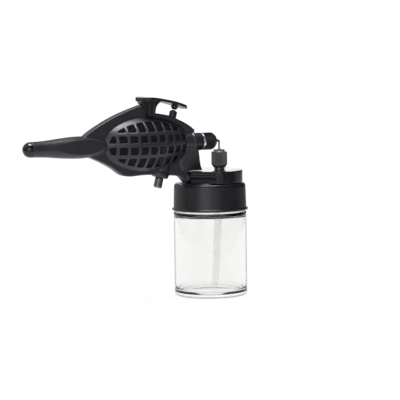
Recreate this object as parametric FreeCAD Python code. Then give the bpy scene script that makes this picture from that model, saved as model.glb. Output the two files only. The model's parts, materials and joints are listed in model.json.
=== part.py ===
import FreeCAD, Part
import math
import os

# External-mix siphon airbrush standing on its glass jar.
# Frame: millimetres, +Z up, origin at the centre of the jar's base, spray along +X,
# the gun is symmetric about the plane Y = 0. The right side is -Y.

os.makedirs("parts", exist_ok=True)
V = FreeCAD.Vector
UP = V(0, 0, 1)
FORWARD = V(1, 0, 0)
ACROSS = V(0, 1, 0)

# ---- driving dimensions -------------------------------------------------------------
RUN = 0.08                 # radial clearance of a running fit
GAP = 0.3                  # clearance between moving bodies

JAR_R, JAR_WALL, JAR_FLOOR = 21.2, 2.0, 3.2
JAR_SHOULDER_Z, JAR_RIM_Z = 49.5, 61.6
NECK_R, NECK_BORE_R = 18.5, 16.2

CAP_Z0, CAP_Z1 = 50.0, 65.8
CAP_R0, CAP_R1, CAP_INNER_R = 21.25, 20.85, 19.4
CAP_FLANGE_R, CAP_FLANGE_H, CAP_TOP_T, CAP_HOLE_R = 22.15, 1.3, 1.6, 17.3

LID_R, LID_TOP_Z = 19.2, 73.2          # quick-change platform on the jar
LID_REAR_X, LID_REAR_HALF = -15.4, 5.2  # narrow rear end that the gun's foot hooks over
LID_SHOULDER_X, LID_SHOULDER_Y = -5.7, 18.0

GUN_Z = 90.0               # barrel axis height
FIN_HALF = 2.8             # half thickness of the flat body
HEEL_Z = CAP_Z1 + 2 * GAP  # underside of the foot's heel, clear of the cap
TAIL_X = -120.0
PIVOT = V(-39.9, 0, 108.5)  # trigger pivot
PAD_HALF, PAD_T = 7.6, 1.6

EGG_X, EGG_A, EGG_B = -43.0, 28.2, 15.8   # grip bulge: middle, half length, half height
EGG_TOP = 14.2             # half width of the bulge at its crown
GRILLE_T = 1.5             # grille wall
RIB_PITCH, RIB_W = 5.8, 1.75
FIRST_RIB_X = -64.05       # centre of the rearmost upright rib
RIB_ROWS = [(-16, -7.2), (-4.9, -0.8), (1.55, 5.45), (7.5, 16)]   # window heights from the axis

TILT = 14.7                # valve axis leans forward at the top, degrees
VALVE_FOOT = V(-34.9, 0, 64.5)
INLET_R = 2.5              # M5 hose thread, plain

# distances up the valve axis from the hose end of the inlet
BOSS_S, VALVE_S, GLAND_S, PLUNGER_S = 6.0, 7.9, 30.0, 38.2
STEM_S, STEM_TIP_S, PRESSER_S = 17.0, 45.9, 46.2
VALVE_R, GLAND_R, PLUNGER_R, STEM_R = 3.2, 2.9, 2.2, 0.9
VALVE_BOSS_R = 4.4         # round housing of the valve inside the body

AIR_TUBE_R, BARREL_R, COLLAR_R = 1.5, 3.3, 5.1
SHROUD_X, BARREL_X, COLLAR_X = -18.0, -17.6, -10.7
RING_X, NOSE_X, NOZZLE_X, NOSE_END_X = -5.8, -4.8, -1.4, 3.4
NOSE_R = 5.0
TIP_X = 6.7                # paint tip axis
STUD_BORE_R = 1.5
TUBE_R, TUBE_BORE_R = 2.3, 1.5
TUBE_TOP, TUBE_FOOT = V(TIP_X, 0, 65.2), V(3.0, 0, 4.2)
TUBE_AXIS = (TUBE_FOOT - TUBE_TOP).normalize()

TONGUE_HALF, TONGUE_Z0, TONGUE_Z1, TONGUE_END_X = 3.6, 67.9, 70.7, -8.0
SCREWS = [(-66.5, 102.6), (-70.4, 83.3), (-16.6, 98.0), (-12.6, 77.0)]
SCREW_HEAD_R, SCREW_R = 1.5, 0.75


# ---- small helpers ------------------------------------------------------------------
def cyl(r, h, at, axis=UP):
    return Part.makeCylinder(r, h, at, axis)


def tube(r, bore, h, at, axis=UP):
    return cyl(r, h, at, axis).cut(cyl(bore, h + 2, at - axis * 1.0, axis))


def box(x0, x1, y0, y1, z0, z1):
    return Part.makeBox(x1 - x0, y1 - y0, z1 - z0, V(x0, y0, z0))


def fuse(shapes):
    result = shapes[0]
    for other in shapes[1:]:
        result = result.fuse(other)
    return result.removeSplitter()


def polygon_face(points):
    return Part.Face(Part.makePolygon(points + [points[0]]))


def turned(profile, at, axis):
    """Solid of revolution from (radius, height) pairs; heights run along axis from at."""
    face = polygon_face([V(r, 0, h) for r, h in profile])
    solid = face.revolve(V(0, 0, 0), UP, 360)
    solid.Placement = FreeCAD.Placement(at, FreeCAD.Rotation(UP, axis))
    return solid


def toothed(r, depth, teeth, h, at, axis=UP):
    """Straight-knurled cylinder: a star outline pulled along axis."""
    points = []
    for i in range(2 * teeth):
        angle = math.pi * i / teeth
        radius = r if i % 2 else r - depth
        points.append(V(radius * math.cos(angle), radius * math.sin(angle), 0))
    solid = polygon_face(points).extrude(V(0, 0, h))
    solid.Placement = FreeCAD.Placement(at, FreeCAD.Rotation(UP, axis))
    return solid


def edge(*points):
    """Straight edge through two points, smooth curve through more, all (x, z) at Y = 0."""
    at = [V(x, 0, z) for x, z in points]
    if len(at) == 2:
        return Part.makeLine(at[0], at[1])
    curve = Part.BSplineCurve()
    curve.interpolate(at)
    return curve.toShape()


def plate(edges, half):
    """Plate of the given half thickness across Y from a closed outline in X and Z."""
    face = Part.Face(Part.Wire(edges))
    face.translate(V(0, -half, 0))
    return face.extrude(V(0, 2 * half, 0))


def half_space(side):
    """Everything on one side of the parting plane: -1 is the right side, 1 the left."""
    low = -60 if side < 0 else 0
    return box(-200, 60, low, low + 60, 0, 200)


def save(name, shape):
    solids = shape.Solids
    shape = solids[0] if len(solids) == 1 else Part.makeCompound(solids)
    shape.exportStep("parts/" + name + ".step")
    print(name, "solids", len(solids), "volume", round(shape.Volume, 1), shape.isValid())


# ---- jar and cap --------------------------------------------------------------------
def jar_glass():
    bend = 2.0
    outer = turned([(0, 0), (JAR_R - bend, 0), (JAR_R - 0.6, 0.6), (JAR_R, bend),
                    (JAR_R, JAR_SHOULDER_Z - 1.0), (JAR_R - 0.9, JAR_SHOULDER_Z),
                    (NECK_R, JAR_SHOULDER_Z), (NECK_R, JAR_RIM_Z), (0, JAR_RIM_Z)],
                   V(0, 0, 0), UP)
    inner_r = JAR_R - JAR_WALL
    inner = turned([(0, JAR_FLOOR), (inner_r - 2, JAR_FLOOR), (inner_r, JAR_FLOOR + 2),
                    (inner_r, JAR_SHOULDER_Z - 3.4), (NECK_BORE_R, JAR_SHOULDER_Z - 0.6),
                    (NECK_BORE_R, JAR_RIM_Z + 1),
                    (0, JAR_RIM_Z + 1)], V(0, 0, 0), UP)
    beads = [Part.makeTorus(NECK_R, 0.6, V(0, 0, z)) for z in (53.5, 57.0)]
    return fuse([outer] + beads).cut(inner)


def cap_ring():
    soft = 1.5
    profile = [(CAP_INNER_R, CAP_Z0), (CAP_FLANGE_R - 0.3, CAP_Z0), (CAP_FLANGE_R, CAP_Z0 + 0.3),
               (CAP_FLANGE_R, CAP_Z0 + CAP_FLANGE_H - 0.3),
               (CAP_FLANGE_R - 0.3, CAP_Z0 + CAP_FLANGE_H), (CAP_R0, CAP_Z0 + CAP_FLANGE_H + 0.2),
               (CAP_R1, CAP_Z1 - soft)]
    for i in range(1, 6):
        angle = math.radians(18 * i)
        profile.append((CAP_R1 - soft + soft * math.cos(angle),
                        CAP_Z1 - soft + soft * math.sin(angle)))
    profile += [(CAP_HOLE_R, CAP_Z1), (CAP_HOLE_R, CAP_Z1 - CAP_TOP_T),
                (CAP_INNER_R, CAP_Z1 - CAP_TOP_T)]
    return turned(profile, V(0, 0, 0), UP)


def cap_gasket():
    return tube(18.3, NECK_BORE_R, 1.0, V(0, 0, JAR_RIM_Z))


def lid_outline(z0, z1):
    """Round platform whose rear narrows in two flats to the end that the foot hooks over."""
    plan = polygon_face([V(LID_REAR_X, -LID_REAR_HALF, z0), V(LID_SHOULDER_X, -LID_SHOULDER_Y, z0),
                         V(20, -30, z0), V(30, -30, z0), V(30, 30, z0), V(20, 30, z0),
                         V(LID_SHOULDER_X, LID_SHOULDER_Y, z0), V(LID_REAR_X, LID_REAR_HALF, z0)])
    return plan.extrude(V(0, 0, z1 - z0)).common(cyl(LID_R, z1 - z0, V(0, 0, z0)))


def lid_adapter():
    platform = lid_outline(CAP_Z1 + GAP, LID_TOP_Z)
    flange_z = JAR_RIM_Z + 1.0
    neck = cyl(17.0, CAP_Z1 + GAP - flange_z, V(0, 0, flange_z))
    flange = cyl(18.4, 1.3, V(0, 0, flange_z))
    body = fuse([platform, neck, flange])
    groove = 1.3
    for side in (-1, 1):
        rear = V(LID_REAR_X, side * LID_REAR_HALF, 0)
        along = V(LID_SHOULDER_X, side * LID_SHOULDER_Y, 0) - rear
        inward = V(-along.y, along.x, 0).normalize() * (-side)
        start = rear + along * -0.1
        stop = rear + along * 0.97
        corners = [start - inward, stop - inward, stop + inward * groove, start + inward * groove]
        recess = polygon_face([V(p.x, p.y, 68.9) for p in corners]).extrude(V(0, 0, 2.2))
        body = body.cut(recess)
    slot = box(LID_REAR_X - 1, TONGUE_END_X + 0.4, -TONGUE_HALF - 0.15, TONGUE_HALF + 0.15,
               TONGUE_Z0 - 0.15, TONGUE_Z1 + 0.15)
    hollow = cyl(14.5, 2.6, V(0, 0, flange_z))
    stud_hole = cyl(2.3, 12, V(TIP_X, 0, 62.6))
    rib = cyl(2.6, LID_TOP_Z - CAP_Z1 - GAP - 0.6, V(-1.9, -16.75, CAP_Z1 + GAP)).fuse(
        cyl(2.6, LID_TOP_Z - CAP_Z1 - GAP - 0.6, V(-1.9, 16.75, CAP_Z1 + GAP)))
    return body.fuse(rib).cut(slot).cut(hollow).cut(stud_hole).removeSplitter()


# ---- paint tip ----------------------------------------------------------------------
def fluid_stud():
    return turned([(STUD_BORE_R, 0), (2.3, 0), (2.3, 9.2), (3.05, 9.2), (3.05, 9.8),
                   (2.3, 9.8), (2.3, 17.2), (STUD_BORE_R, 17.2)], V(TIP_X, 0, 64.0), UP)


def siphon_nipple():
    barb_r = TUBE_BORE_R - 0.03
    barb = turned([(0.55, 0), (barb_r, 0), (barb_r, 5.5), (0.55, 5.5)],
                  TUBE_TOP + TUBE_AXIS * 1.5, TUBE_AXIS)
    seat = turned([(0.55, 0), (3.4, 0), (3.4, 0.9), (0.55, 0.9)], V(TIP_X, 0, 63.1), UP)
    plug = turned([(0.55, 0), (1.45, 0), (1.45, 1.6), (0.55, 1.6)], V(TIP_X, 0, 64.0), UP)
    return fuse([barb, seat, plug]).cut(cyl(0.55, 4, V(TIP_X, 0, 62.9)))


def siphon_tube():
    length = (TUBE_FOOT - TUBE_TOP).Length
    start = TUBE_TOP + TUBE_AXIS * 2.4
    return tube(TUBE_R, TUBE_BORE_R, length - 2.4, start, TUBE_AXIS)


def knurled_nut():
    z0, h, r = 74.1, 9.5, 4.6
    body = toothed(r, 0.28, 44, h, V(TIP_X, 0, z0))
    envelope = turned([(0, 0), (3.2, 0), (r, 1.9), (r, h - 0.3), (r - 0.3, h), (0, h)],
                      V(TIP_X, 0, z0), UP)
    return body.common(envelope).cut(cyl(2.3 + RUN, h + 2, V(TIP_X, 0, z0 - 1)))


def tip_washer():
    return tube(3.1, 1.0, 0.35, V(TIP_X, 0, 83.65))


def paint_tip():
    ring = toothed(3.3, 0.3, 20, 0.8, V(TIP_X, 0, 84.0))
    shank = cyl(STUD_BORE_R - RUN, 5.6, V(TIP_X, 0, 77.9)).fuse(
        cyl(1.0, 1.2, V(TIP_X, 0, 83.2)))
    cone = turned([(0, 0), (1.2, 0), (0.5, 0.9), (0.5, 5.5), (0, 5.5)], V(TIP_X, 0, 84.8), UP)
    return fuse([ring, shank, cone]).cut(cyl(0.28, 20, V(TIP_X, 0, 75)))


# ---- gun body -----------------------------------------------------------------------
def valve_dir():
    return V(math.sin(math.radians(TILT)), 0, math.cos(math.radians(TILT)))


def on_valve(s):
    """Point at distance s up the valve axis from the hose end."""
    return VALVE_FOOT + valve_dir() * s


def fin():
    """Flat body seen from the side, with the recess for the trigger's pivot block."""
    outline = [
        edge((-84, 94.4), (-79.0, 98.4), (-74.4, 101.1), (-66.3, 105.2), (-56.2, 109.2),
             (-48.0, 111.8), (-45.4, 112.6)),
        edge((-45.4, 112.6), (-43.25, 109.0)),
        Part.Arc(V(-43.25, 0, 109.0), V(-40.2, 0, 105.15), V(-36.2, 0, 107.6)).toShape(),
        edge((-36.2, 107.6), (-33.3, 107.1), (-28.6, 106.2), (-22.1, 103.7), (-16.4, 100.9),
             (-10.9, 97.0)),
        edge((-10.9, 97.0), (-10.9, 89.0), (-8.6, 84.0), (-7.6, 78.0), (-6.1, LID_TOP_Z + GAP)),
        edge((-6.1, LID_TOP_Z + GAP), (LID_REAR_X - GAP, LID_TOP_Z + GAP)),
        edge((LID_REAR_X - GAP, LID_TOP_Z + GAP), (LID_REAR_X - GAP, HEEL_Z)),
        edge((LID_REAR_X - GAP, HEEL_Z), (-16.8, HEEL_Z)),
        edge((-16.8, HEEL_Z), (-18.0, 67.6), (-19.8, 69.6), (-22.8, 71.0)),
        edge((-22.8, 71.0), (-27.4, 71.4), (-38.8, 72.3), (-51.0, 72.1)),
        edge((-51.0, 72.1), (-54.8, 72.1), (-58.4, 72.9), (-63.2, 76.1), (-68.6, 79.3),
             (-74.2, 82.0), (-84, 86.0)),
        edge((-84, 86.0), (-84, 94.4)),
    ]
    return plate(outline, FIN_HALF)


def web():
    """Fairing from the barrel down to the foot, thick at the barrel and thin at the sole."""
    def section(z, x0, x1, half):
        front = min(half, 2.0)
        return Part.makePolygon([V(x0, -0.4, z), V(x0 + 3.5, -half, z), V(x1 - front, -half, z),
                                 V(x1, -half + front * 0.7, z), V(x1, half - front * 0.7, z),
                                 V(x1 - front, half, z), V(x0 + 3.5, half, z), V(x0, 0.4, z),
                                 V(x0, -0.4, z)])
    rows = [section(GUN_Z, -19, -10.9, 5.2), section(84, -21.5, -8.65, 4.6),
            section(78, -24, -7.65, 3.7), section(LID_TOP_Z + GAP, -22, -6.2, 3.0)]
    return Part.makeLoft(rows, True, False)


def handle():
    """Slim tail grip: swells slowly towards the body, then runs out into the grip bulge."""
    profile = edge((TAIL_X + 4.4, GUN_Z + 4.4), (-97.5, GUN_Z + 5.6), (-84.0, GUN_Z + 6.3),
                   (-76.0, GUN_Z + 5.6), (-66.0, GUN_Z + 3.0), (-60.0, GUN_Z + 0.6))
    front, rear = V(-60.0, 0, GUN_Z), V(TAIL_X + 4.4, 0, GUN_Z)
    wire = Part.Wire([profile, Part.makeLine(V(-60.0, 0, GUN_Z + 0.6), front),
                      Part.makeLine(front, rear), Part.makeLine(rear, V(rear.x, 0, GUN_Z + 4.4))])
    body = Part.Face(wire).revolve(rear, FORWARD, 360)
    for side in (-1, 1):
        flat = polygon_face([V(-103, side * 5.3, 70), V(-60, side * 4.2, 70),
                             V(-60, side * 12, 70), V(-103, side * 12, 70)])
        body = body.cut(flat.extrude(V(0, 0, 40)))
    return body


def egg_cap(a, b, top, base):
    """Shallow crowned cap on the right side: base plane at -base, crown at -top."""
    rise = top - base
    radius = (a * a + rise * rise) / (2 * rise)
    ball = Part.makeSphere(radius, V(0, -(top - radius), 0))
    cap = ball.common(box(-a - 1, a + 1, -top - 1, -base, -a - 1, a + 1))
    squash = FreeCAD.Matrix()
    squash.scale(1, 1, b / a)
    cap = cap.transformGeometry(squash)
    cap.translate(V(EGG_X, 0, GUN_Z))
    return cap


def shroud():
    """Round front of the body that holds the barrel, and its raised lip."""
    sleeve = cyl(5.9, -10.9 - SHROUD_X, V(SHROUD_X, 0, GUN_Z), FORWARD)
    lip = turned([(0, 0), (6.3, 0), (6.3, 0.9), (5.7, 1.6), (0, 1.6)], V(-12.5, 0, GUN_Z), FORWARD)
    return sleeve.fuse(lip)


def inlet_boss():
    """Round housing of the valve: a stepped boss under the body, hidden by the grilles above."""
    return cyl(VALVE_BOSS_R, GLAND_S + 4.0 - BOSS_S, on_valve(BOSS_S), valve_dir()).fuse(
        cyl(VALVE_BOSS_R + 0.5, 2.2, on_valve(BOSS_S + 0.6), valve_dir()))


def body_outer():
    tongue = box(-16.3, TONGUE_END_X, -TONGUE_HALF, TONGUE_HALF, TONGUE_Z0, TONGUE_Z1)
    ear = cyl(2.4, 2.6, PIVOT - ACROSS * 1.3, ACROSS)
    ear_root = box(-41.6, -38.2, -1.3, 1.3, 102, PIVOT.z)
    return fuse([fin(), web(), handle(), shroud(), inlet_boss(), tongue, ear, ear_root])


def body_voids():
    """Bores and pockets inside the two halves."""
    cuts = [cyl(INLET_R + 0.05, 2.0, on_valve(BOSS_S - 0.5), valve_dir()),
            cyl(VALVE_R, GLAND_S - VALVE_S + 1.0, on_valve(VALVE_S - 1.0), valve_dir()),
            cyl(GLAND_R, 3.2, on_valve(GLAND_S), valve_dir()),
            cyl(2.5, 5.0, on_valve(GLAND_S + 3.0), valve_dir()),  # room below the plunger
            cyl(PLUNGER_R + RUN, 12, on_valve(PLUNGER_S - 0.8), valve_dir()),
            cyl(AIR_TUBE_R, 10, V(-27, 0, GUN_Z), FORWARD),
            cyl(BARREL_R, 12, V(BARREL_X, 0, GUN_Z), FORWARD),
            cyl(COLLAR_R + 0.15, 8, V(COLLAR_X, 0, GUN_Z), FORWARD),
            cyl(3.4, 52, V(-118, 0, GUN_Z), FORWARD),             # hollow tail
            cyl(0.9, 2.8, PIVOT - ACROSS * 1.4, ACROSS)]
    pocket = egg_cap(EGG_A - 3.5, EGG_B - 3.2, EGG_TOP, 0)
    slab = box(EGG_X - EGG_A, -33.6, -1.1, 1.1, GUN_Z - EGG_B, GUN_Z + EGG_B)
    cuts.append(fuse([pocket, pocket.mirror(V(0, 0, 0), ACROSS)]).common(slab))
    return cuts


def screw_face(x, z):
    """Half thickness of the body where the screw sits: the foot is thicker than the fin."""
    return 4.2 if x > -20 and z < 80 else FIN_HALF


def screw_cut(x, z):
    face = screw_face(x, z)
    return cyl(SCREW_HEAD_R, 3, V(x, face - 1.0, z), ACROSS).fuse(
        cyl(SCREW_R, face + 0.8, V(x, -1.8, z), ACROSS))


def shell_screws():
    screws = []
    for x, z in SCREWS:
        face = screw_face(x, z)
        head = turned([(0, 0), (SCREW_HEAD_R, 0), (SCREW_HEAD_R, 0.55), (1.0, 0.85), (0, 0.85)],
                      V(x, face - 1.0, z), ACROSS)
        slot = box(x - 0.16, x + 0.16, face - 0.5, face + 1, z - 0.9, z + 0.9).fuse(
            box(x - 0.9, x + 0.9, face - 0.5, face + 1, z - 0.16, z + 0.16))
        shank = cyl(SCREW_R, face + 0.7, V(x, -1.7, z), ACROSS)
        screws.append(head.fuse(shank).cut(slot).removeSplitter())
    return Part.makeCompound(screws)


def shell(side):
    half = body_outer().common(half_space(side))
    for void in body_voids():
        half = half.cut(void)
    for x, z in SCREWS:
        half = half.cut(screw_cut(x, z))
    return half.removeSplitter()


def grille(side, shell_solid):
    """Hollow crowned grille over one side of the body: a wide rim and a lattice of ribs."""
    outer = egg_cap(EGG_A, EGG_B, EGG_TOP, FIN_HALF)
    inner = egg_cap(EGG_A - GRILLE_T - 0.6, EGG_B - GRILLE_T - 0.2, EGG_TOP - GRILLE_T, FIN_HALF)
    body = outer.cut(inner)
    field = Part.Ellipse(V(EGG_X + 0.3, 0, GUN_Z), 25.7, 13.1).toShape()
    field = Part.Face(Part.Wire([field]))
    if field.normalAt(0, 0).y > 0:
        field.reverse()
    field.rotate(V(EGG_X, 0, GUN_Z), FORWARD, 90)
    field.translate(V(0, -FIN_HALF - 0.9, 0))
    window_field = field.extrude(V(0, -14, 0))
    windows = []
    for k in range(10):
        x0 = FIRST_RIB_X + RIB_PITCH * (k - 1) + RIB_W / 2
        for low, high in RIB_ROWS:
            windows.append(box(x0, x0 + RIB_PITCH - RIB_W, -16, -3.7, GUN_Z + low, GUN_Z + high))
    cutter = Part.makeCompound(windows).common(window_field)
    body = body.cut(cutter)
    if side > 0:
        body = body.mirror(V(0, 0, 0), ACROSS)
    body = body.cut(shell_solid)
    biggest = max(body.Solids, key=lambda s: s.Volume)
    return biggest


def tail_plug():
    points = []
    for i in range(7):
        angle = math.radians(15 * i)
        points.append((4.4 * math.sin(angle), 4.4 - 4.4 * math.cos(angle)))
    return turned(points + [(3.4, 4.4), (3.4, 9.0), (0, 9.0)], V(TAIL_X, 0, GUN_Z), FORWARD)


# ---- air path -----------------------------------------------------------------------
def valve_body():
    top, seat = GLAND_S - VALVE_S, STEM_S + 3.0 - VALVE_S
    lower = turned([(1.9, 0), (VALVE_R, 0), (VALVE_R, top), (STEM_R + RUN, top),
                    (STEM_R + RUN, top - 2), (1.6, top - 2), (1.6, seat + 1), (1.1, seat + 1),
                    (1.1, seat), (1.9, seat)], on_valve(VALVE_S), valve_dir())
    port = cyl(0.9, 6, V(-29, 0, GUN_Z), FORWARD)
    return lower.cut(port)


def inlet_fitting():
    flange, relief = VALVE_S - 0.9, INLET_R - 0.2
    return turned([(1.2, 0), (INLET_R - 0.25, 0), (INLET_R, 0.3), (INLET_R, BOSS_S - 0.3),
                   (relief, BOSS_S - 0.3), (relief, flange), (VALVE_R - 0.05, flange),
                   (VALVE_R - 0.05, VALVE_S), (1.9, VALVE_S), (1.9, VALVE_S + 2.1),
                   (1.2, VALVE_S + 2.1)], on_valve(0), valve_dir())


def valve_seal():
    return tube(1.65, STEM_R * 0.6, 0.5, on_valve(STEM_S + 2.5), valve_dir())


def valve_stem():
    waist, shoulder, tip = STEM_R * 0.6, PLUNGER_S + 3.2 - STEM_S, STEM_TIP_S - STEM_S
    return turned([(0, 0), (0.7, 0), (1.65, 0.7), (1.65, 2.5), (waist, 2.5), (waist, 4.0),
                   (STEM_R, 4.0), (STEM_R, shoulder), (0.5, shoulder), (0.5, tip - 0.4),
                   (0.25, tip), (0, tip)], on_valve(STEM_S), valve_dir())


def valve_spring():
    """Return spring under the poppet: half turns, tilted one way and then the other, end to end."""
    turns, height, radius, wire = 5, 6.6, 1.35, 0.2
    rise = (height - 2 * wire) / (2 * turns)
    lean = math.degrees(math.asin(rise / 2 / radius))
    pieces = []
    for i in range(2 * turns):
        half = Part.makeTorus(radius, wire, V(0, 0, 0), UP, -180, 180, 180)
        half.rotate(V(0, 0, 0), UP, 180 * (i % 2))
        half.rotate(V(0, 0, 0), ACROSS, -lean if i % 2 else lean)
        half.translate(V(0, 0, wire + rise * (i + 0.5)))
        pieces.append(half)
    coil = fuse(pieces)
    coil.Placement = FreeCAD.Placement(on_valve(STEM_S - height - 0.35),
                                       FreeCAD.Rotation(UP, valve_dir()))
    return coil


def stem_packing():
    return tube(2.2, STEM_R + RUN, 0.9, on_valve(GLAND_S), valve_dir())


def gland_nut():
    return turned([(STEM_R + RUN, 0.9), (2.2, 0.9), (2.2, 0), (GLAND_R, 0), (GLAND_R, 2.9),
                   (STEM_R + RUN, 2.9)], on_valve(GLAND_S), valve_dir())


def plunger_cap():
    """Round-headed button that slides in the top of the body."""
    profile = [(0.5, 0), (PLUNGER_R, 0)]
    for i in range(6):
        angle = math.radians(18 * i)
        profile.append((PLUNGER_R - 1.0 + 1.0 * math.cos(angle), 6.6 + 0.8 * math.sin(angle)))
    profile += [(0.5, 7.4)]
    button = turned(profile, on_valve(PLUNGER_S), valve_dir())
    return button.cut(cyl(STEM_R, 3.2, on_valve(PLUNGER_S), valve_dir()))


def air_tube():
    body = tube(AIR_TUBE_R, 0.9, 13, V(-29.5, 0, GUN_Z), FORWARD)
    return body.cut(cyl(VALVE_R, GLAND_S - VALVE_S, on_valve(VALVE_S), valve_dir())).cut(
        box(BARREL_X, 0, -5, 5, 80, 100))


def barrel():
    length = NOZZLE_X - BARREL_X
    return turned([(0.9, 0), (BARREL_R, 0), (BARREL_R, length), (0.9, length)],
                  V(BARREL_X, 0, GUN_Z), FORWARD)


def barrel_collar():
    return turned([(BARREL_R, 0), (COLLAR_R - 0.3, 0), (COLLAR_R, 0.4), (COLLAR_R, 4.3),
                   (COLLAR_R - 0.3, 4.7), (BARREL_R, 4.7)], V(COLLAR_X, 0, GUN_Z), FORWARD)


def lock_ring():
    return turned([(BARREL_R + RUN, 0), (4.9, 0), (5.1, 0.2), (5.1, 0.8), (4.9, 1.0),
                   (BARREL_R + RUN, 1.0)], V(RING_X + 0.05, 0, GUN_Z), FORWARD)


def air_cap():
    length, r = NOSE_END_X - NOSE_X, NOSE_R
    body = toothed(r, 0.22, 52, length, V(NOSE_X + 0.05, 0, GUN_Z), FORWARD)
    envelope = turned([(0, 0), (r - 0.3, 0), (r, 0.3), (r, length - 2.3), (3.3, length),
                       (0, length)], V(NOSE_X + 0.05, 0, GUN_Z), FORWARD)
    bore = turned([(0, -1), (BARREL_R + RUN, -1), (BARREL_R + RUN, length - 1.8),
                   (1.75, length - 0.4), (1.75, length + 1), (0, length + 1)],
                  V(NOSE_X + 0.05, 0, GUN_Z), FORWARD)
    return body.common(envelope).cut(bore)


def air_nozzle():
    return turned([(0.45, 0), (2.9, 0), (2.9, 0.9), (1.5, 2.2), (1.45, 4.4), (0.75, 7.4),
                   (0.45, 7.4)], V(NOZZLE_X, 0, GUN_Z), FORWARD)


# ---- trigger ------------------------------------------------------------------------
def trigger_lever():
    """Thumb pad on a pivot block that straddles the body's ear, with a presser in front."""
    top = [(-46.0, 116.7), (-43.0, 117.0), (-34.5, 116.0), (-25.0, 113.9), (-16.1, 110.8)]
    under = [(x, z - PAD_T - (0.5 if x < -40 else 0)) for x, z in reversed(top)]
    pad = plate([edge(*top), edge(top[-1], under[0]), edge(*under), edge(under[-1], top[0])],
                PAD_HALF)
    plan = [V(-46.0, -4.2, 90), V(-44.6, -6.5, 90), V(-42.0, -7.5, 90), V(-24.0, -PAD_HALF, 90),
            V(-18.6, -6.6, 90), V(-16.2, -3.2, 90)]
    mirrored = [V(p.x, -p.y, p.z) for p in reversed(plan)]
    pad = pad.common(polygon_face(plan + mirrored).extrude(V(0, 0, 40)))
    block = plate([
        edge((-45.9, 116.2), (-45.8, 114.4)), edge((-45.8, 114.4), (-45.3, 113.3)),
        edge((-45.3, 113.3), (-42.75, 109.0)),
        Part.Arc(V(-42.75, 0, 109.0), V(PIVOT.x, 0, PIVOT.z - 2.9),
                 V(-36.6, 0, 108.8)).toShape(),
        edge((-36.6, 108.8), (-36.1, 110.9), (-34.5, 113.1), (-31.8, 114.4)),
        edge((-31.8, 114.4), (-32.0, 115.4)), edge((-32.0, 115.4), (-45.9, 116.2))], FIN_HALF)
    fork = box(-43.6, -35.6, -1.55, 1.55, 104, 112.3)
    nose_r, bevel, reach = 2.0, 0.9, 5.0
    middle = [(x, z - PAD_T / 2) for x, z in top]
    low_rear, low_front = (top[0][0], 100), (top[-1][0], 100)
    below = plate([edge(*middle), edge(middle[-1], low_front), edge(low_front, low_rear),
                   edge(low_rear, middle[0])], 3)
    presser = turned([(0, 0), (nose_r - bevel, 0), (nose_r, bevel), (nose_r, reach), (0, reach)],
                     on_valve(PRESSER_S), valve_dir()).common(below)
    flutes = [cyl(0.35, 12, V(x, side * FIN_HALF, 102), V(lean, 0, 1))
              for side in (-1, 1) for x, lean in ((-43.4, -0.12), (-41.0, 0.0), (-38.9, 0.1))]
    flute_zone = box(-50, -30, -4, 4, 102, 113.2)
    body = fuse([pad, block.cut(fork), presser])
    return body.cut(Part.makeCompound(flutes).common(flute_zone)).cut(
        cyl(0.9, 4.8, PIVOT - ACROSS * 2.4, ACROSS))


def trigger_pin():
    return cyl(0.9 - RUN / 2, 4.7, PIVOT - ACROSS * 2.35, ACROSS)


# ---- build --------------------------------------------------------------------------
save("jar_glass", jar_glass())
save("cap_ring", cap_ring())
save("cap_gasket", cap_gasket())
save("lid_adapter", lid_adapter())
save("fluid_stud", fluid_stud())
save("siphon_nipple", siphon_nipple())
save("siphon_tube", siphon_tube())
save("knurled_nut", knurled_nut())
save("tip_washer", tip_washer())
save("paint_tip", paint_tip())
for name, side in (("right", -1), ("left", 1)):
    solid = shell(side)
    save("shell_" + name, solid)
    save("grille_" + name, grille(side, solid))
save("shell_screws", shell_screws())
save("tail_plug", tail_plug())
save("valve_body", valve_body())
save("inlet_fitting", inlet_fitting())
save("valve_seal", valve_seal())
save("valve_stem", valve_stem())
save("valve_spring", valve_spring())
save("stem_packing", stem_packing())
save("gland_nut", gland_nut())
save("plunger_cap", plunger_cap())
save("air_tube", air_tube())
save("barrel", barrel())
save("barrel_collar", barrel_collar())
save("lock_ring", lock_ring())
save("air_cap", air_cap())
save("air_nozzle", air_nozzle())
save("trigger_lever", trigger_lever())
save("trigger_pin", trigger_pin())
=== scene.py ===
import json
import math

import bmesh
import bpy
from mathutils import Matrix, Vector


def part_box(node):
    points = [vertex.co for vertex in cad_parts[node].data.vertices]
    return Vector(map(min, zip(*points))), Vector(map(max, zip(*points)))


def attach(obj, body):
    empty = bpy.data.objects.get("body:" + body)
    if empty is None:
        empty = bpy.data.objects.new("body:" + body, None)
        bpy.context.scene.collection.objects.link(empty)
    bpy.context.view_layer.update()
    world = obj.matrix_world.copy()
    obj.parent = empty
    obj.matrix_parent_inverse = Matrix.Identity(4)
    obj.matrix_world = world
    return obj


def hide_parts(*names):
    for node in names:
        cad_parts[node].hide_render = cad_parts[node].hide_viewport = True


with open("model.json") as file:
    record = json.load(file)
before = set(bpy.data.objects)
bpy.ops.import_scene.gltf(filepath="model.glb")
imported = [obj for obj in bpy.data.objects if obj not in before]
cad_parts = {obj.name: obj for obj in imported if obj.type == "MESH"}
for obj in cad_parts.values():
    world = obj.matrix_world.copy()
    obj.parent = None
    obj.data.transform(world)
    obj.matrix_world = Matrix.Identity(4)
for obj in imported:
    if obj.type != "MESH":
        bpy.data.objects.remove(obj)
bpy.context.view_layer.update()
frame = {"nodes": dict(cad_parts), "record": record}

nodes = frame["nodes"]
scene = bpy.context.scene
MM = 0.001

# ---- camera, in metres and degrees ------------------------------------------------------
AZIMUTH, ELEVATION, ROLL = -30.0, 5.0, 0.8
DISTANCE, VIEW_WIDTH = 1.4, 0.2332
AIM_RIGHT, AIM_UP = -0.00577, 0.0556
SENSOR = 36.0
CLIP = 0.05, 20


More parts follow.
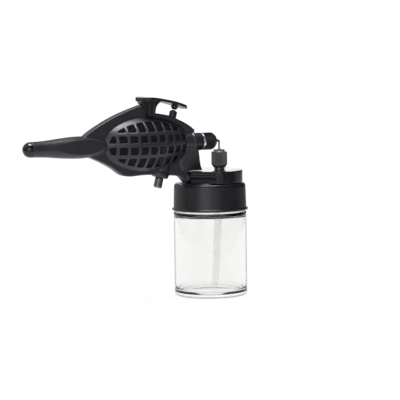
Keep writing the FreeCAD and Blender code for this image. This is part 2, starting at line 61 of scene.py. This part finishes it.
def make_camera():
    a, e = math.radians(AZIMUTH), math.radians(ELEVATION)
    back = Vector((math.sin(a) * math.cos(e), -math.cos(a) * math.cos(e), math.sin(e)))
    right = Vector((math.cos(a), math.sin(a), 0))
    target = right * AIM_RIGHT + Vector((0, 0, AIM_UP))
    cam = bpy.data.cameras.new("camera")
    cam.sensor_width = SENSOR
    cam.lens = SENSOR * DISTANCE / VIEW_WIDTH
    cam.clip_start, cam.clip_end = CLIP
    obj = bpy.data.objects.new("camera", cam)
    obj.rotation_mode = "QUATERNION"
    obj.location = target + back * DISTANCE
    turn = (-back).to_track_quat("-Z", "Y")
    roll = Matrix.Rotation(math.radians(-ROLL), 4, "Z").to_quaternion()
    obj.rotation_quaternion = turn @ roll
    scene.collection.objects.link(obj)
    scene.camera = obj


# ---- floor and light --------------------------------------------------------------------
FLOOR_DROP, FLOOR_HALF, FLOOR_AT = 0.00005, 0.62, (0.09, 0.4)
FLOOR_GREY, FLOOR_GLOW, FLOOR_ROUGH = 0.06, 0.93, 0.8
SUN_POWER, SUN_SPREAD, SUN_FROM = 3.9, 32.0, (-0.05, -0.02, 1.0)
SIDE_AT, SIDE_AIM, SIDE_SIZE, SIDE_WATTS = (-1.0, -0.9, 0.5), (-0.04, 0, 0.07), 0.8, 2.5
STUDIO_DIM, STUDIO_TINT = 0.05, (0.98, 0.98, 1.0, 1)
WHITE, BACKDROP_POWER = (1, 1, 1, 1), 1.02
# a lobe: its direction, the cosines where it starts and is full, and its value outside and inside
GLOWS = [((-0.9, -0.35, 0.2), 0.3, 0.98, 0.0, 0.22),
         ((-0.35, 0.65, 0.7), 0.55, 0.95, 0.0, 0.65),
         ((0.5, 0.866, 0.087), 0.98, 0.999, 0.0, 2.2),
         ((-0.5, -0.85, 0.1), 0.75, 0.99, 0.0, 0.65),
         ((0.3, -0.95, 0.0), 0.8, 0.99, 0.0, 0.2)]
SEEN_THROUGH_GLASS = ((0.5, 0.866, 0.0), 0.1, 0.5, 0.28, 1.0)


def make_floor():
    """Plain pale floor, lit softly from within so that it stays white under the jar."""
    bm = bmesh.new()
    bmesh.ops.create_grid(bm, x_segments=2, y_segments=2, size=FLOOR_HALF)
    mesh = bpy.data.meshes.new("floor")
    bm.to_mesh(mesh)
    bm.free()
    obj = bpy.data.objects.new("floor", mesh)
    obj.location = (*FLOOR_AT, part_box("jar_glass")[0].z - FLOOR_DROP)
    scene.collection.objects.link(obj)
    mat = bpy.data.materials.new("floor")
    mat.use_nodes = True
    bsdf = mat.node_tree.nodes["Principled BSDF"]
    bsdf.inputs["Base Color"].default_value = (FLOOR_GREY, FLOOR_GREY, FLOOR_GREY, 1)
    bsdf.inputs["Emission Color"].default_value = WHITE
    bsdf.inputs["Emission Strength"].default_value = FLOOR_GLOW
    bsdf.inputs["Roughness"].default_value = FLOOR_ROUGH
    bsdf.inputs["Specular IOR Level"].default_value = 0.0
    mesh.materials.append(mat)


def sun_light():
    """One very soft overhead light, so that the whole floor is evenly white."""
    data = bpy.data.lights.new("sky", "SUN")
    data.energy = SUN_POWER
    data.angle = math.radians(SUN_SPREAD)
    obj = bpy.data.objects.new("sky", data)
    obj.rotation_mode = "QUATERNION"
    obj.rotation_quaternion = Vector(SUN_FROM).to_track_quat("Z", "Y")
    scene.collection.objects.link(obj)


def side_light():
    """A large soft panel on the left, for the sheen along the handle and the cap."""
    data = bpy.data.lights.new("left", "AREA")
    data.shape = "RECTANGLE"
    data.size = data.size_y = SIDE_SIZE
    data.energy = SIDE_WATTS
    obj = bpy.data.objects.new("left", data)
    obj.location = SIDE_AT
    obj.rotation_mode = "QUATERNION"
    obj.rotation_quaternion = (Vector(SIDE_AIM) - Vector(SIDE_AT)).to_track_quat("-Z", "Y")
    obj.visible_camera = False
    scene.collection.objects.link(obj)


def make_world():
    """White behind the object, and through its glass; as light, soft glows in a dim studio."""
    world = bpy.data.worlds.new("studio")
    scene.world = world
    world.use_nodes = True
    tree = world.node_tree
    tree.nodes.clear()
    new, link = tree.nodes.new, tree.links.new
    way = new("ShaderNodeTexCoord").outputs["Generated"]

    def lobe(direction, *limits):
        dot = new("ShaderNodeVectorMath")
        dot.operation = "DOT_PRODUCT"
        dot.inputs[1].default_value = Vector(direction).normalized()
        link(way, dot.inputs[0])
        ramp = new("ShaderNodeMapRange")
        ramp.interpolation_type = "SMOOTHSTEP"
        for key, value in zip(("From Min", "From Max", "To Min", "To Max"), limits):
            ramp.inputs[key].default_value = value
        link(dot.outputs["Value"], ramp.inputs["Value"])
        return ramp.outputs["Result"]

    def combined(operation, first, second):
        node = new("ShaderNodeMath")
        node.operation = operation
        link(first, node.inputs[0])
        link(second, node.inputs[1])
        return node.outputs[0]

    def background(color):
        node = new("ShaderNodeBackground")
        node.inputs["Color"].default_value = color
        return node

    glow = new("ShaderNodeValue").outputs[0]
    glow.default_value = STUDIO_DIM
    for row in GLOWS:
        glow = combined("ADD", lobe(*row), glow)
    soft = background(STUDIO_TINT)
    link(glow, soft.inputs["Strength"])
    plain = background(WHITE)
    plain.inputs["Strength"].default_value = BACKDROP_POWER
    path = new("ShaderNodeLightPath")
    through = combined("MULTIPLY", path.outputs["Is Transmission Ray"], lobe(*SEEN_THROUGH_GLASS))
    seen = combined("MAXIMUM", path.outputs["Is Camera Ray"], through)
    mix = new("ShaderNodeMixShader")
    out = new("ShaderNodeOutputWorld")
    link(seen, mix.inputs[0])
    link(soft.outputs[0], mix.inputs[1])
    link(plain.outputs[0], mix.inputs[2])
    link(mix.outputs[0], out.inputs["Surface"])


scene.view_settings.view_transform = "Standard"
make_camera()
make_floor()
make_world()
sun_light()
side_light()


# ---- materials --------------------------------------------------------------------------
# noise scales count features per metre, and depths are in metres
GRAIN, GRAIN_DEPTH = 2600.0, 0.00002
METAL_GRAIN, METAL_DEPTH = 900.0, 0.000006
PLASTIC_IOR, GLASS_IOR, TUBE_IOR = 1.49, 1.5, 1.09


def shader(name):
    mat = bpy.data.materials.new(name)
    mat.use_nodes = True
    return mat, mat.node_tree, mat.node_tree.nodes["Principled BSDF"]


def noise(tree, scale, detail=3.0):
    coord = tree.nodes.new("ShaderNodeTexCoord")
    tex = tree.nodes.new("ShaderNodeTexNoise")
    tex.inputs["Scale"].default_value = scale
    tex.inputs["Detail"].default_value = detail
    tex.inputs["Roughness"].default_value = 0.55
    tree.links.new(coord.outputs["Object"], tex.inputs["Vector"])
    return tex.outputs["Fac"]


def spread(tree, value, low, high):
    """The noise's usual range stretched from low to high."""
    node = tree.nodes.new("ShaderNodeMapRange")
    node.inputs["From Min"].default_value = 0.3
    node.inputs["From Max"].default_value = 0.7
    node.inputs["To Min"].default_value = low
    node.inputs["To Max"].default_value = high
    tree.links.new(value, node.inputs["Value"])
    return node.outputs["Result"]


def tint(tree, value, dark, light):
    ramp = tree.nodes.new("ShaderNodeValToRGB")
    for element, position, color in zip(ramp.color_ramp.elements, (0.35, 0.65), (dark, light)):
        element.position = position
        element.color = (*color, 1)
    tree.links.new(value, ramp.inputs["Fac"])
    return ramp.outputs["Color"]


def bump(tree, bsdf, height, distance, strength=1.0):
    node = tree.nodes.new("ShaderNodeBump")
    node.inputs["Strength"].default_value = strength
    node.inputs["Distance"].default_value = distance
    tree.links.new(height, node.inputs["Height"])
    tree.links.new(node.outputs["Normal"], bsdf.inputs["Normal"])


def plastic(name, dark, light, rough, grain=GRAIN, depth=GRAIN_DEPTH):
    """Moulded plastic: fine spark-eroded grain, with faint flow and handling marks in the gloss."""
    mat, tree, bsdf = shader(name)
    tree.links.new(tint(tree, noise(tree, 60), dark, light), bsdf.inputs["Base Color"])
    gloss = spread(tree, noise(tree, 180, 4), rough - 0.05, rough + 0.06)
    tree.links.new(gloss, bsdf.inputs["Roughness"])
    bsdf.inputs["IOR"].default_value = PLASTIC_IOR
    bump(tree, bsdf, noise(tree, grain, 2), depth)
    return mat


def metal(name, color, rough, metallic=1.0):
    """Turned metal: a faint mottle, an uneven polish and a fine machined grain."""
    mat, tree, bsdf = shader(name)
    light = tuple(min(1.0, c * 1.12) for c in color)
    tree.links.new(tint(tree, noise(tree, 120), color, light), bsdf.inputs["Base Color"])
    gloss = spread(tree, noise(tree, 400, 4), rough * 0.75, rough * 1.3)
    tree.links.new(gloss, bsdf.inputs["Roughness"])
    bsdf.inputs["Metallic"].default_value = metallic
    bump(tree, bsdf, noise(tree, METAL_GRAIN, 3), METAL_DEPTH)
    return mat


def glass():
    """Clear pressed glass: faintly uneven surface and a slight grey-green body tint."""
    mat, tree, bsdf = shader("jar glass")
    color = tint(tree, noise(tree, 40), (0.938, 0.943, 0.933), (0.952, 0.956, 0.947))
    tree.links.new(color, bsdf.inputs["Base Color"])
    bsdf.inputs["Transmission Weight"].default_value = 1.0
    bsdf.inputs["IOR"].default_value = GLASS_IOR
    tree.links.new(spread(tree, noise(tree, 90, 4), 0.0, 0.03), bsdf.inputs["Roughness"])
    bump(tree, bsdf, noise(tree, 45, 1), 0.00001, 0.15)
    return mat


def clear_plastic():
    """Natural polyethylene: milky, with faint clouding along the tube."""
    mat, tree, bsdf = shader("clear tube")
    color = tint(tree, noise(tree, 80), (0.985, 0.978, 0.955), (1.0, 0.998, 0.982))
    tree.links.new(color, bsdf.inputs["Base Color"])
    bsdf.inputs["Transmission Weight"].default_value = 0.92
    bsdf.inputs["IOR"].default_value = TUBE_IOR
    tree.links.new(spread(tree, noise(tree, 300), 0.12, 0.22), bsdf.inputs["Roughness"])
    return mat


finish = {
    "clear_glass": glass(),
    "black_cap": plastic("cap plastic", (0.0062, 0.0058, 0.0084), (0.0090, 0.0084, 0.0120),
                         0.31, depth=0.000009),
    # the body plastic is lightened to stand in for the light falling from the left along the
    # handle: painted light
    "black_body": plastic("body plastic", (0.0215, 0.0202, 0.0270), (0.0270, 0.0254, 0.0338),
                          0.36),
    "grey_grille": plastic("grille plastic", (0.0180, 0.0171, 0.0225), (0.0245, 0.0232, 0.0305),
                           0.37),
    "gloss_tail": plastic("gloss plastic", (0.005, 0.005, 0.006), (0.008, 0.008, 0.009),
                          0.12, 900, 0.000005),
    "seal_rubber": plastic("rubber", (0.012, 0.012, 0.012), (0.02, 0.02, 0.02), 0.75),
    "clear_tube": clear_plastic(),
    "chrome_fitting": metal("chrome", (0.22, 0.208, 0.2), 0.05),
    "brass_valve": metal("brass", (0.62, 0.45, 0.20), 0.25),
    "steel": metal("steel", (0.40, 0.40, 0.42), 0.28),
    "dark_nut": metal("dark nickel", (0.135, 0.130, 0.136), 0.5, 0.5),
    "silver_ring": metal("silver", (0.88, 0.88, 0.89), 0.26),
}
dark_steel = metal("dark steel", (0.16, 0.158, 0.16), 0.38, 0.8)
lid_finish = plastic("lid plastic", (0.0042, 0.0038, 0.0058), (0.0062, 0.0057, 0.0082), 0.22,
                     depth=0.000006)
# a darker copy of the body plastic for the nose, collar and plunger cap on the right: painted shade
# where less light falls
shaded_body_plastic = plastic("shaded body plastic", (0.0092, 0.0087, 0.0118), (0.0126, 0.0118, 0.0160),
                      0.36)
own_finish = {"paint_tip": dark_steel, "fluid_stud": dark_steel, "valve_stem": dark_steel,
              "plunger_cap": shaded_body_plastic, "barrel_collar": shaded_body_plastic}


def smooth(obj, angle=35.0):
    obj.data.shade_smooth()
    obj.data.set_sharp_from_angle(angle=math.radians(angle))


def dress(obj, node, body, slot, material):
    """Gives a piece its finish, the body that it rides on and the CAD node that it replaces."""
    obj.data.materials.clear()
    obj.data.materials.append(material or finish[slot])
    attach(obj, body)
    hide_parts(node)


slot_of = {row["node"]: row["material_slot"] for row in frame["record"]["subparts"]}
for node_name, node_obj in nodes.items():
    node_obj.data.materials.clear()
    node_obj.data.materials.append(own_finish.get(node_name, finish[slot_of[node_name]]))
    smooth(node_obj)


# ---- softened mouldings -----------------------------------------------------------------
PARTING_EXTRA = 1.2   # mm that a half is grown across the parting plane before it is trimmed
AT_PARTING = 1e-6     # a CAD vertex this near the plane, in metres, lies on it
WELD, CUT = 1e-7, 1e-8  # tolerances, in metres, of merging points and of the trim


def cut_at_parting(mesh, side):
    """Trims a half back to the parting plane and closes it there with a flat face."""
    bm = bmesh.new()
    bm.from_mesh(mesh)
    parts = bm.verts[:] + bm.edges[:] + bm.faces[:]
    bmesh.ops.bisect_plane(bm, geom=parts, dist=CUT, plane_co=(0, 0, 0),
                           plane_no=(0, -side, 0), clear_outer=True)
    rim = [edge for edge in bm.edges if edge.is_boundary]
    bmesh.ops.triangle_fill(bm, use_beauty=True, use_dissolve=False, edges=rim,
                            normal=(0, -side, 0))
    for edge in rim:
        edge.smooth = False
    bm.to_mesh(mesh)
    bm.free()


def softened(name, node, voxel, passes, body, slot, material=None, side=0):
    """The CAD node remeshed finely, so that every edge has a moulded part's small radius.

    A half of the body (side -1 or 1) keeps a sharp edge along the parting plane."""
    source = bpy.data.objects.new("source", nodes[node].data.copy())
    scene.collection.objects.link(source)
    bm = bmesh.new()
    bm.from_mesh(source.data)
    bmesh.ops.remove_doubles(bm, verts=bm.verts, dist=WELD)
    if side:
        for vert in bm.verts:
            if abs(vert.co.y) < AT_PARTING:
                vert.co.y = -side * PARTING_EXTRA * MM
    bm.to_mesh(source.data)
    bm.free()
    remesh = source.modifiers.new("remesh", "REMESH")
    remesh.mode = "VOXEL"
    remesh.voxel_size = voxel * MM
    relax = source.modifiers.new("relax", "SMOOTH")
    relax.factor = 0.5
    relax.iterations = passes
    graph = bpy.context.evaluated_depsgraph_get()
    made = bpy.data.meshes.new_from_object(source.evaluated_get(graph))
    bpy.data.objects.remove(source)
    obj = bpy.data.objects.new(name, made)
    scene.collection.objects.link(obj)
    made.shade_smooth()
    if side:
        cut_at_parting(made, side)
    dress(obj, node, body, slot, material)


for word, side in (("right", -1), ("left", 1)):
    softened("body_" + word, "shell_" + word, 0.36, 3, "gun", "black_body", side=side)
    softened("lattice_" + word, "grille_" + word, 0.3, 2, "gun", "grey_grille")
softened("lever", "trigger_lever", 0.22, 2, "trigger", "black_body", finish["black_cap"])
softened("platform", "lid_adapter", 0.3, 2, "lid", "black_cap", lid_finish)


# ---- turned and knurled pieces, in mm ---------------------------------------------------
ON_AXIS = 1e-6          # a point this near the axis closes the surface
STEPS_PER_TOOTH = 6     # points round the side for each ridge of a knurl
ALONG_X = Matrix.Rotation(math.radians(90), 4, "Y")
BARREL_Z, BARREL_FIT = 90, 3.38   # the barrel's height, and the bore of what sits on it
NUT_AT, NUT_R, NUT_BORE, NUT_TALL = (6.7, 0, 74.1), 4.6, 2.38, 9.5
NOSE_AT, NOSE_R = (-4.75, 0, BARREL_Z), 5.0
RING_AT, RING_R, RING_WIDE = (-5.93, 0, BARREL_Z), 5.1, 1.15
TAIL_AT, TAIL_R, SPIGOT_R, SPIGOT_END = (-120, 0, BARREL_Z), 4.4, 3.4, 9.0
VALVE_LEAN = math.radians(14.7)
VALVE_FOOT = (-34.9, 0, 64.5)     # centre of the inlet's mouth
VALVE_DIR = (math.sin(VALVE_LEAN), 0, math.cos(VALVE_LEAN))
BUTTON_ALONG = 38.2     # from the inlet's mouth to the foot of the button
INLET_BORE, THREAD_R, THREAD_ROOT, PITCH, TURNS = 1.2, 2.5, 2.38, 0.45, 11
SIPHON_TOP, SIPHON_FOOT = Vector((6.7, 0, 65.2)), Vector((3.0, 0, 4.2))
SIPHON_BORE, SIPHON_R = 1.5, 2.3
SIPHON_START = 2.4      # from SIPHON_TOP down to the tube's upper end
JAR_R, NECK_R, JAR_INSIDE, MOUTH_R = 21.2, 18.5, 19.25, 16.2


def lathe(points, segments=160):
    """Closed surface of revolution about Z from (radius, height) pairs."""
    bm = bmesh.new()
    rings = []
    for r, z in points:
        if r < ON_AXIS:
            rings.append([bm.verts.new((0, 0, z * MM))])
            continue
        rings.append([bm.verts.new((r * MM * math.cos(math.tau * k / segments),
                                    r * MM * math.sin(math.tau * k / segments), z * MM))
                      for k in range(segments)])
    for low, high in zip(rings, rings[1:] + rings[:1]):
        for k in range(segments):
            j = (k + 1) % segments
            face = [low[k % len(low)], low[j % len(low)], high[j % len(high)], high[k % len(high)]]
            unique = list(dict.fromkeys(face))
            if len(unique) > 2:
                bm.faces.new(unique)
    bmesh.ops.recalc_face_normals(bm, faces=bm.faces)
    return bm


def rounded(points, radius, steps=4):
    """The same outline with every corner swapped for a small arc."""
    result = []
    count = len(points)
    for i, (r, z) in enumerate(points):
        before, after = Vector(points[i - 1]), Vector(points[(i + 1) % count])
        here = Vector((r, z))
        a, b = before - here, after - here
        cut = min(radius, a.length * 0.45, b.length * 0.45)
        start, stop = here + a.normalized() * cut, here + b.normalized() * cut
        for k in range(steps + 1):
            t = k / steps
            p = start * (1 - t) ** 2 + here * 2 * t * (1 - t) + stop * t * t
            result.append((p.x, p.y))
    return result


def ridged(outline, teeth, depth, z_low, z_high):
    """A turned outline whose side between two heights carries rounded knurl ridges."""
    bm = lathe(outline, teeth * STEPS_PER_TOOTH)
    for vert in bm.verts:
        r, z = math.hypot(vert.co.x, vert.co.y), vert.co.z / MM
        if z_low < z < z_high:
            turn = math.atan2(vert.co.y, vert.co.x)
            dip = depth * MM * (0.5 + 0.5 * math.cos(turn * teeth)) ** 0.7
            vert.co.x *= (r - dip) / r
            vert.co.y *= (r - dip) / r
    return bm


def side_wall(radius, low, high, count=8):
    """Evenly spaced points up a straight side, for the knurl to act on."""
    return [(radius, low + (high - low) * i / (count - 1)) for i in range(count)]


def at(place):
    return Matrix.Translation(Vector(place) * MM)


def along(start, direction):
    """Puts a piece's Z axis on a line that leaves a point in some direction."""
    return at(start) @ Vector(direction).to_track_quat("Z", "Y").to_matrix().to_4x4()


def piece(name, bm, node, body, slot, place=None, angle=40.0, material=None):
    mesh = bpy.data.meshes.new(name)
    if place is not None:
        bmesh.ops.transform(bm, matrix=place, verts=bm.verts)
    bm.to_mesh(mesh)
    bm.free()
    obj = bpy.data.objects.new(name, mesh)
    scene.collection.objects.link(obj)
    smooth(obj, angle)
    dress(obj, node, body, slot, material)


def bead(height):
    """One rounded thread bead round the jar's neck."""
    flank = [(NECK_R, 0.9), (NECK_R + 0.3, 0.5)]
    return ([(r, height - dz) for r, dz in flank] + [(NECK_R + 0.6, height)] +
            [(r, height + dz) for r, dz in reversed(flank)])


def jar():
    """Clear jar: heavy floor, soft heel and shoulder, and a neck with two thread beads."""
    heel = [(0, 0.9), (12.0, 0.8), (16.6, 0.3), (18.4, 0.02), (19.6, 0.12), (20.6, 0.7),
            (21.05, 1.5), (JAR_R, 2.6), (JAR_R, 4.0), (21.06, 4.9), (21.06, 5.6), (JAR_R, 6.6)]
    shoulder = [(JAR_R, 46.0), (21.14, 46.4), (21.14, 46.8), (JAR_R, 47.2), (JAR_R, 48.3),
                (21.0, 48.9), (20.6, 49.3), (19.9, 49.5), (NECK_R, 49.55)]
    lip = [(NECK_R, 61.0), (18.3, 61.45), (17.8, 61.6), (16.6, 61.6), (16.3, 61.3),
           (MOUTH_R, 60.8)]
    inside = [(MOUTH_R, 49.5), (16.35, 49.0), (16.8, 48.4), (17.8, 47.5), (18.8, 46.6),
              (19.2, 46.0), (JAR_INSIDE, 45.2), (JAR_INSIDE, 5.0)]
    ground = [(19.05, 4.2), (18.5, 3.6), (17.6, 3.3), (14.0, 3.2), (7.0, 3.35), (0, 3.5)]
    outline = heel + shoulder + bead(53.5) + bead(57.0) + lip + inside + ground
    piece("jar", lathe(outline, 192), "jar_glass", "jar", "clear_glass", angle=180)


def cap():
    """Screw cap: a smooth drawn wall over a thin flange, with a soft upper edge."""
    outside = [(22.15, 50.0), (22.15, 51.3), (21.25, 51.4), (20.85, 64.0), (20.2, 65.5),
               (19.2, 65.8), (17.3, 65.8)]
    outline = rounded([(19.4, 50.0)] + outside + [(17.3, 64.2), (19.4, 64.2)], 0.5)
    piece("cap", lathe(outline, 192), "cap_ring", "cap", "black_cap", angle=60)


def nut():
    """Knurled nut: bevelled ends, fine ridges, and a bore that fits its stud."""
    outline = ([(NUT_BORE, 0), (3.1, 0), (3.35, 0.15), (4.3, 1.6), (4.56, 1.9)] +
               side_wall(NUT_R, 2.1, 8.9) +
               [(4.45, 9.2), (4.25, NUT_TALL), (NUT_BORE, NUT_TALL)])
    bm = ridged(outline, teeth=44, depth=0.3, z_low=1.95, z_high=9.0)
    piece("nut", bm, "knurled_nut", "nut", "dark_nut", at(NUT_AT), angle=55)


def nose():
    """Front cap of the barrel: straight fine knurl, a short cone and the air opening."""
    cone = [(4.9, 6.1), (4.6, 6.75), (4.1, 7.4), (3.5, 8.0), (3.2, 8.18)]
    opening = [(1.9, 8.2), (1.75, 8.05), (1.75, 7.8), (BARREL_FIT, 6.4)]
    outline = ([(BARREL_FIT, 0), (4.7, 0), (4.95, 0.15)] + side_wall(NOSE_R, 0.35, 5.7) +
               cone + opening)
    bm = ridged(outline, teeth=52, depth=0.24, z_low=0.3, z_high=5.75)
    piece("nose", bm, "air_cap", "nose", "black_body", at(NOSE_AT) @ ALONG_X,
          angle=55, material=shaded_body_plastic)


def tail():
    """Polished rounded end of the handle with its hidden spigot."""
    angles = [math.radians(6 * i) for i in range(16)]
    dome = [(TAIL_R * math.sin(a), TAIL_R - TAIL_R * math.cos(a)) for a in angles]
    outline = dome + [(SPIGOT_R, TAIL_R), (SPIGOT_R, SPIGOT_END), (0, SPIGOT_END)]
    piece("tail", lathe(outline, 96), "tail_plug", "gun", "gloss_tail",
          at(TAIL_AT) @ ALONG_X, angle=50)


def inlet():
    """Chrome hose inlet: bevelled mouth, rings for the fine M5 thread, a relief and the boss."""
    mouth = [(INLET_BORE, 0.0), (2.0, 0.0), (2.3, 0.3)]
    thread = []
    for i in range(TURNS):
        z = 0.5 + PITCH * i
        thread += [(THREAD_ROOT, z), (THREAD_R, z + 0.12), (THREAD_R, z + 0.28)]
    relief = [(THREAD_ROOT, 5.5), (2.3, 5.7), (2.3, 6.9)]
    shoulder = [(3.1, 6.95), (3.1, 7.9), (1.9, 7.9), (1.9, 9.95), (INLET_BORE, 9.95)]
    piece("inlet", lathe(mouth + thread + relief + shoulder, 96), "inlet_fitting", "gun",
          "chrome_fitting", along(VALVE_FOOT, VALVE_DIR), angle=30)


def siphon():
    """Translucent tube that reaches down almost to the jar's floor."""
    run = SIPHON_FOOT - SIPHON_TOP
    outline = rounded([(SIPHON_BORE, SIPHON_START), (SIPHON_R, SIPHON_START),
                       (SIPHON_R, run.length), (SIPHON_BORE, run.length)], 0.2)
    piece("siphon", lathe(outline, 64), "siphon_tube", "lid", "clear_tube",
          along(SIPHON_TOP, run))


def plunger():
    """Button below the lever: a round shoulder and a short neck round the stem's tip."""
    outline = rounded([(0.95, 0), (2.2, 0), (2.2, 6.9), (1.3, 7.15), (1.2, 7.6), (0.55, 7.6),
                       (0.55, 3.2), (0.95, 3.2)], 0.2)
    foot = Vector(VALVE_FOOT) + Vector(VALVE_DIR) * BUTTON_ALONG
    piece("plunger", lathe(outline, 96), "plunger_cap", "valve", "black_body",
          along(foot, VALVE_DIR), angle=50, material=finish["black_cap"])


def bright_ring():
    """Silver ring between the collar and the nose cap."""
    outline = rounded([(BARREL_FIT, 0), (RING_R, 0), (RING_R, RING_WIDE),
                       (BARREL_FIT, RING_WIDE)], 0.2)
    piece("ring", lathe(outline, 128), "lock_ring", "nose_ring", "silver_ring",
          at(RING_AT) @ ALONG_X, angle=50)


for make in (jar, cap, nut, nose, tail, inlet, siphon, plunger, bright_ring):
    make()
